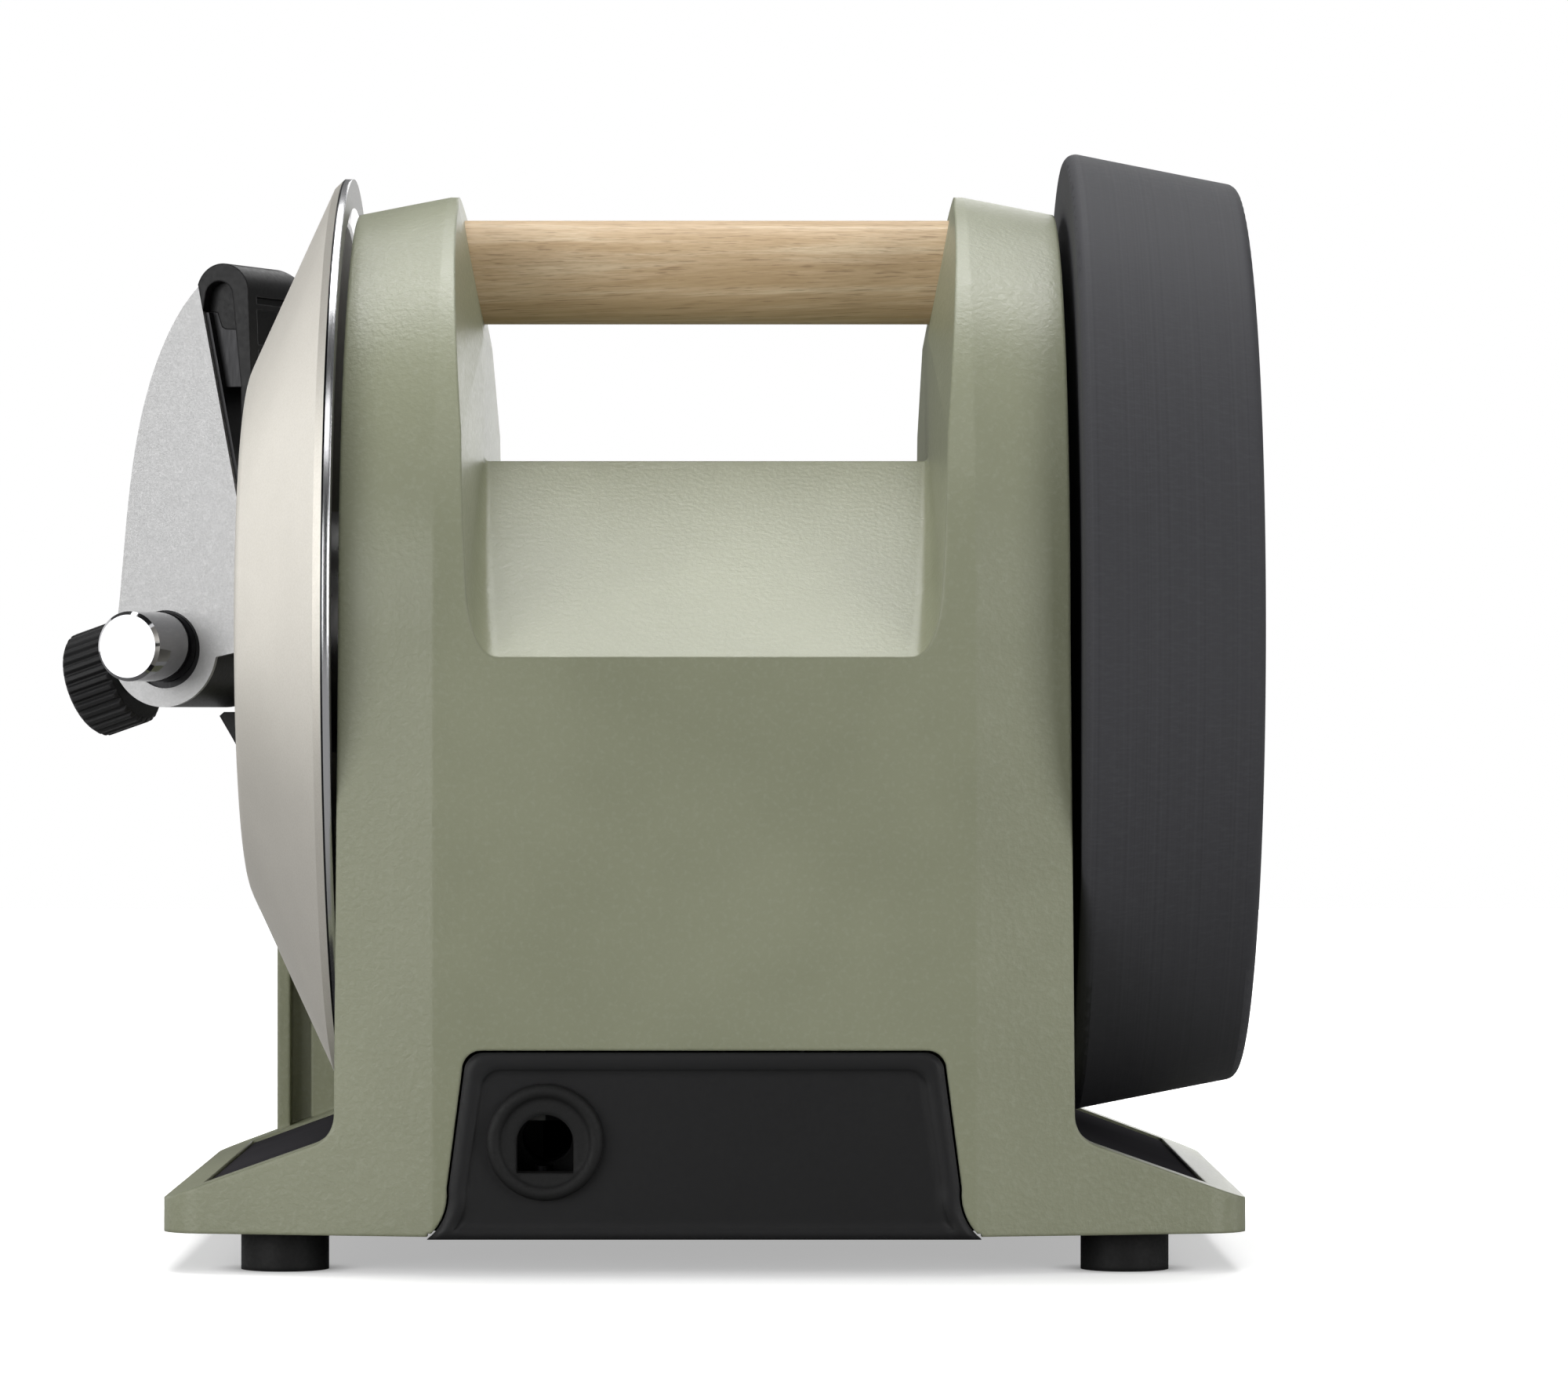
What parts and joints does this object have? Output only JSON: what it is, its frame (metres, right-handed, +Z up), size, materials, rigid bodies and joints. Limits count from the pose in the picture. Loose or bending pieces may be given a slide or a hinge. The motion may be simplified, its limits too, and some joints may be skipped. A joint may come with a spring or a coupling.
{
  "type": "electric knife sharpener",
  "caption": "Benchtop electric knife sharpener: cast housing with a handle, conical diamond wheel and honing wheel on one spindle, and an angle guide on a bar.",
  "frame": {"origin": "middle of the bounding box at the floor under the feet", "axes": "+Z up, -Y towards the rear side with the cable inlet, +X along the spindle towards the honing wheel"},
  "size_m": [0.2004, 0.1611, 0.1804],
  "materials": {
    "cast_green": "fine textured powder coat, satin",
    "oak": "oiled oak, satin",
    "black_plastic": "fine grained, matte",
    "rubber": "moulded, matte",
    "inlay": "smooth, satin",
    "diamond_face": "fine diamond plating with a polished rim",
    "composite": "fine honing compound, matte",
    "chrome": "polished",
    "blasted_aluminium": "bead blasted, clear anodised",
    "dark_aluminium": "dark anodised",
    "steel": "machined",
    "zinc": "zinc plated",
    "laminations": "stacked sheet, varnished",
    "copper": "enamelled wire",
    "bronze": "sintered",
    "gear_plastic": "natural acetal",
    "lead_plastic": "insulation",
    "can": "moulded can"
  },
  "bodies": {
    "housing": {"main_casting": "cast_green", "base_plate": "black_plastic", "rear_cover": "black_plastic", "front_cover": "black_plastic", "housing_screws": "zinc", "foot_rear_left": "rubber", "foot_rear_right": "rubber", "foot_front_left": "rubber", "foot_front_right": "rubber", "foot_screws": "zinc", "flange_inlay_left": "inlay", "flange_inlay_right": "inlay", "wooden_handle": "oak", "handle_screws": "zinc", "cable_bushing": "rubber", "cable_clamp": "black_plastic", "terminal_block": "black_plastic", "switch_body": "black_plastic", "internal_leads": "lead_plastic", "capacitor": "can", "capacitor_clip": "zinc", "stator_core": "laminations", "stator_windings": "copper", "end_bell_left": "blasted_aluminium", "end_bell_right": "blasted_aluminium", "motor_bolts": "zinc", "motor_bushes": "bronze", "motor_bracket": "zinc", "bracket_screws": "zinc", "idler_pin": "steel", "idler_clip": "steel", "shaft_bushes": "bronze", "guide_bar": "chrome", "guide_bar_screw": "zinc", "angle_scale": "black_plastic"},
    "spindle": {"main_shaft": "steel", "output_gear": "gear_plastic", "output_gear_pin": "steel", "wheel_flange_left": "steel", "diamond_wheel": "diamond_face", "honing_wheel": "composite", "honing_wheel_hub": "steel", "wheel_bolts": "zinc"},
    "idler": {"idler_gear": "gear_plastic"},
    "rotor": {"rotor_core": "laminations", "rotor_shaft": "steel", "motor_pinion": "steel", "cooling_fan": "black_plastic"},
    "guide": {"guide_body": "dark_aluminium", "guide_plate_rear": "blasted_aluminium", "guide_plate_front": "blasted_aluminium", "guide_plate_screws": "zinc", "knife_clip": "black_plastic", "clip_insert": "black_plastic"},
    "knob": {"locking_knob": "black_plastic", "knob_stud": "steel"},
    "rocker": {"switch_rocker": "black_plastic"}
  },
  "joints": [
    {"name": "spindle_spin", "type": "hinge", "parent": "housing", "child": "spindle", "pos_m": [0.01266, -0.00146, 0.1013], "axis": [1, 0, 0], "continuous": true},
    {"name": "idler_spin", "type": "hinge", "parent": "housing", "child": "idler", "pos_m": [0.01266, 0.00374, 0.0743], "axis": [1, 0, 0], "continuous": true},
    {"name": "rotor_spin", "type": "hinge", "parent": "housing", "child": "rotor", "pos_m": [0.01266, -0.00146, 0.04984], "axis": [1, 0, 0], "continuous": true},
    {"name": "guide_pivot", "type": "hinge", "parent": "housing", "child": "guide", "pos_m": [-0.07688, 0.05476, 0.0993], "axis": [0.4067, 0.9135, 0], "range_deg": [-8.4, 3]},
    {"name": "knob_turn", "type": "hinge", "parent": "guide", "child": "knob", "pos_m": [-0.07651, 0.05559, 0.0993], "axis": [-0.8722, 0.3883, -0.2974], "range_deg": [-270, 0]},
    {"name": "rocker_tilt", "type": "hinge", "parent": "housing", "child": "rocker", "pos_m": [0.01266, 0.07074, 0.02055], "axis": [1, 0, 0], "range_deg": [-20, 0]}
  ],
  "couplings": [
    {"joint": "idler_spin", "follows": "spindle_spin", "ratio": -3.5833},
    {"joint": "rotor_spin", "follows": "spindle_spin", "ratio": 11.347}
  ]
}
